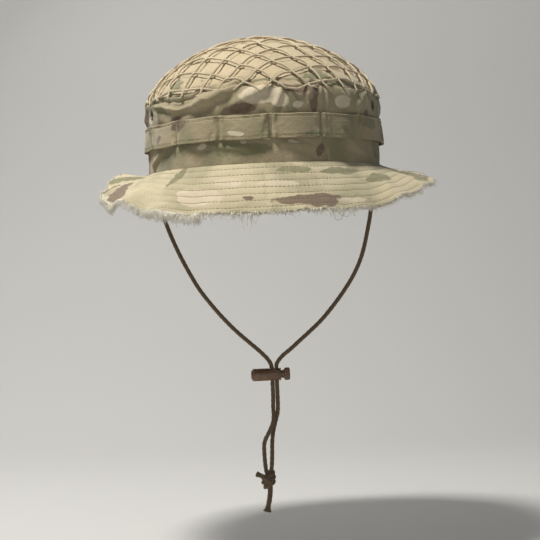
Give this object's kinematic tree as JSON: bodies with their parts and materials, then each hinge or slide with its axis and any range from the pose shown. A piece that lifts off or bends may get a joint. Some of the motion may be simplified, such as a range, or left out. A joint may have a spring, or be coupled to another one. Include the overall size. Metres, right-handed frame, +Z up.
{
  "type": "boonie hat",
  "caption": "Soft wide-brimmed sun hat with a netted domed crown, foliage band, cut-down stitched brim and a chin cord with a sprung cord lock.",
  "frame": {"origin": "centre of the sweatband's lower rim, where the head comes in", "axes": "+Z up, the front of the hat faces -Y, +X is the wearer's left"},
  "size_m": [0.2668, 0.287, 0.3714],
  "materials": {
    "printed_cloth": "matt woven cotton blend, printed in tan, green and brown",
    "top_cloth": "matt woven cotton blend, faded tan",
    "net_cord": "matt twisted cotton cord",
    "interlining": "matt non-woven stiffener",
    "seam_tape": "matt woven tape",
    "label_cloth": "matt woven blank label",
    "eyelet_metal": "matt painted brass",
    "chin_cord": "matt braided cord",
    "lock_plastic": "moulded nylon, slightly shiny",
    "spring_steel": "drawn spring wire"
  },
  "bodies": {
    "hat": {"crown_side_front": "printed_cloth", "crown_side_rear": "printed_cloth", "crown_top_panel": "top_cloth", "net_cover": "net_cord", "foliage_band": "printed_cloth", "brim_top": "printed_cloth", "brim_interlining": "interlining", "brim_bottom": "printed_cloth", "sweatband": "seam_tape", "tip_seam_tape": "seam_tape", "side_seam_tape_left": "seam_tape", "side_seam_tape_right": "seam_tape", "care_label": "label_cloth", "cord_tab_left": "seam_tape", "cord_tab_right": "seam_tape", "vent_eyelet_left_front": "eyelet_metal", "vent_eyelet_left_rear": "eyelet_metal", "vent_eyelet_right_front": "eyelet_metal", "vent_eyelet_right_rear": "eyelet_metal", "vent_washer_left_front": "eyelet_metal", "vent_washer_left_rear": "eyelet_metal", "vent_washer_right_front": "eyelet_metal", "vent_washer_right_rear": "eyelet_metal"},
    "chin_cord": {"chin_cord_left": "chin_cord", "chin_cord_right": "chin_cord", "cord_knot": "chin_cord", "cord_tail": "chin_cord", "cord_stub": "chin_cord"},
    "cord_lock": {"cord_lock_barrel": "lock_plastic", "cord_lock_spring": "spring_steel"},
    "lock_plunger": {"cord_lock_plunger": "lock_plastic"}
  },
  "joints": [
    {"name": "chin_cord_swing", "type": "hinge", "parent": "hat", "child": "chin_cord", "pos_m": [0, 0, -0.007], "axis": [1, 0, 0], "range_deg": [-60, 60]},
    {"name": "cord_lock_slide", "type": "slide", "parent": "chin_cord", "child": "cord_lock", "axis": [0, 0, -1], "range_m": [0, 0.02]},
    {"name": "plunger_press", "type": "slide", "parent": "cord_lock", "child": "lock_plunger", "axis": [-1, 0, 0], "range_m": [0, 0.0025], "stiffness_N_per_m": 800, "springref_m": -0.002, "deforming": ["cord_lock_spring"]}
  ]
}
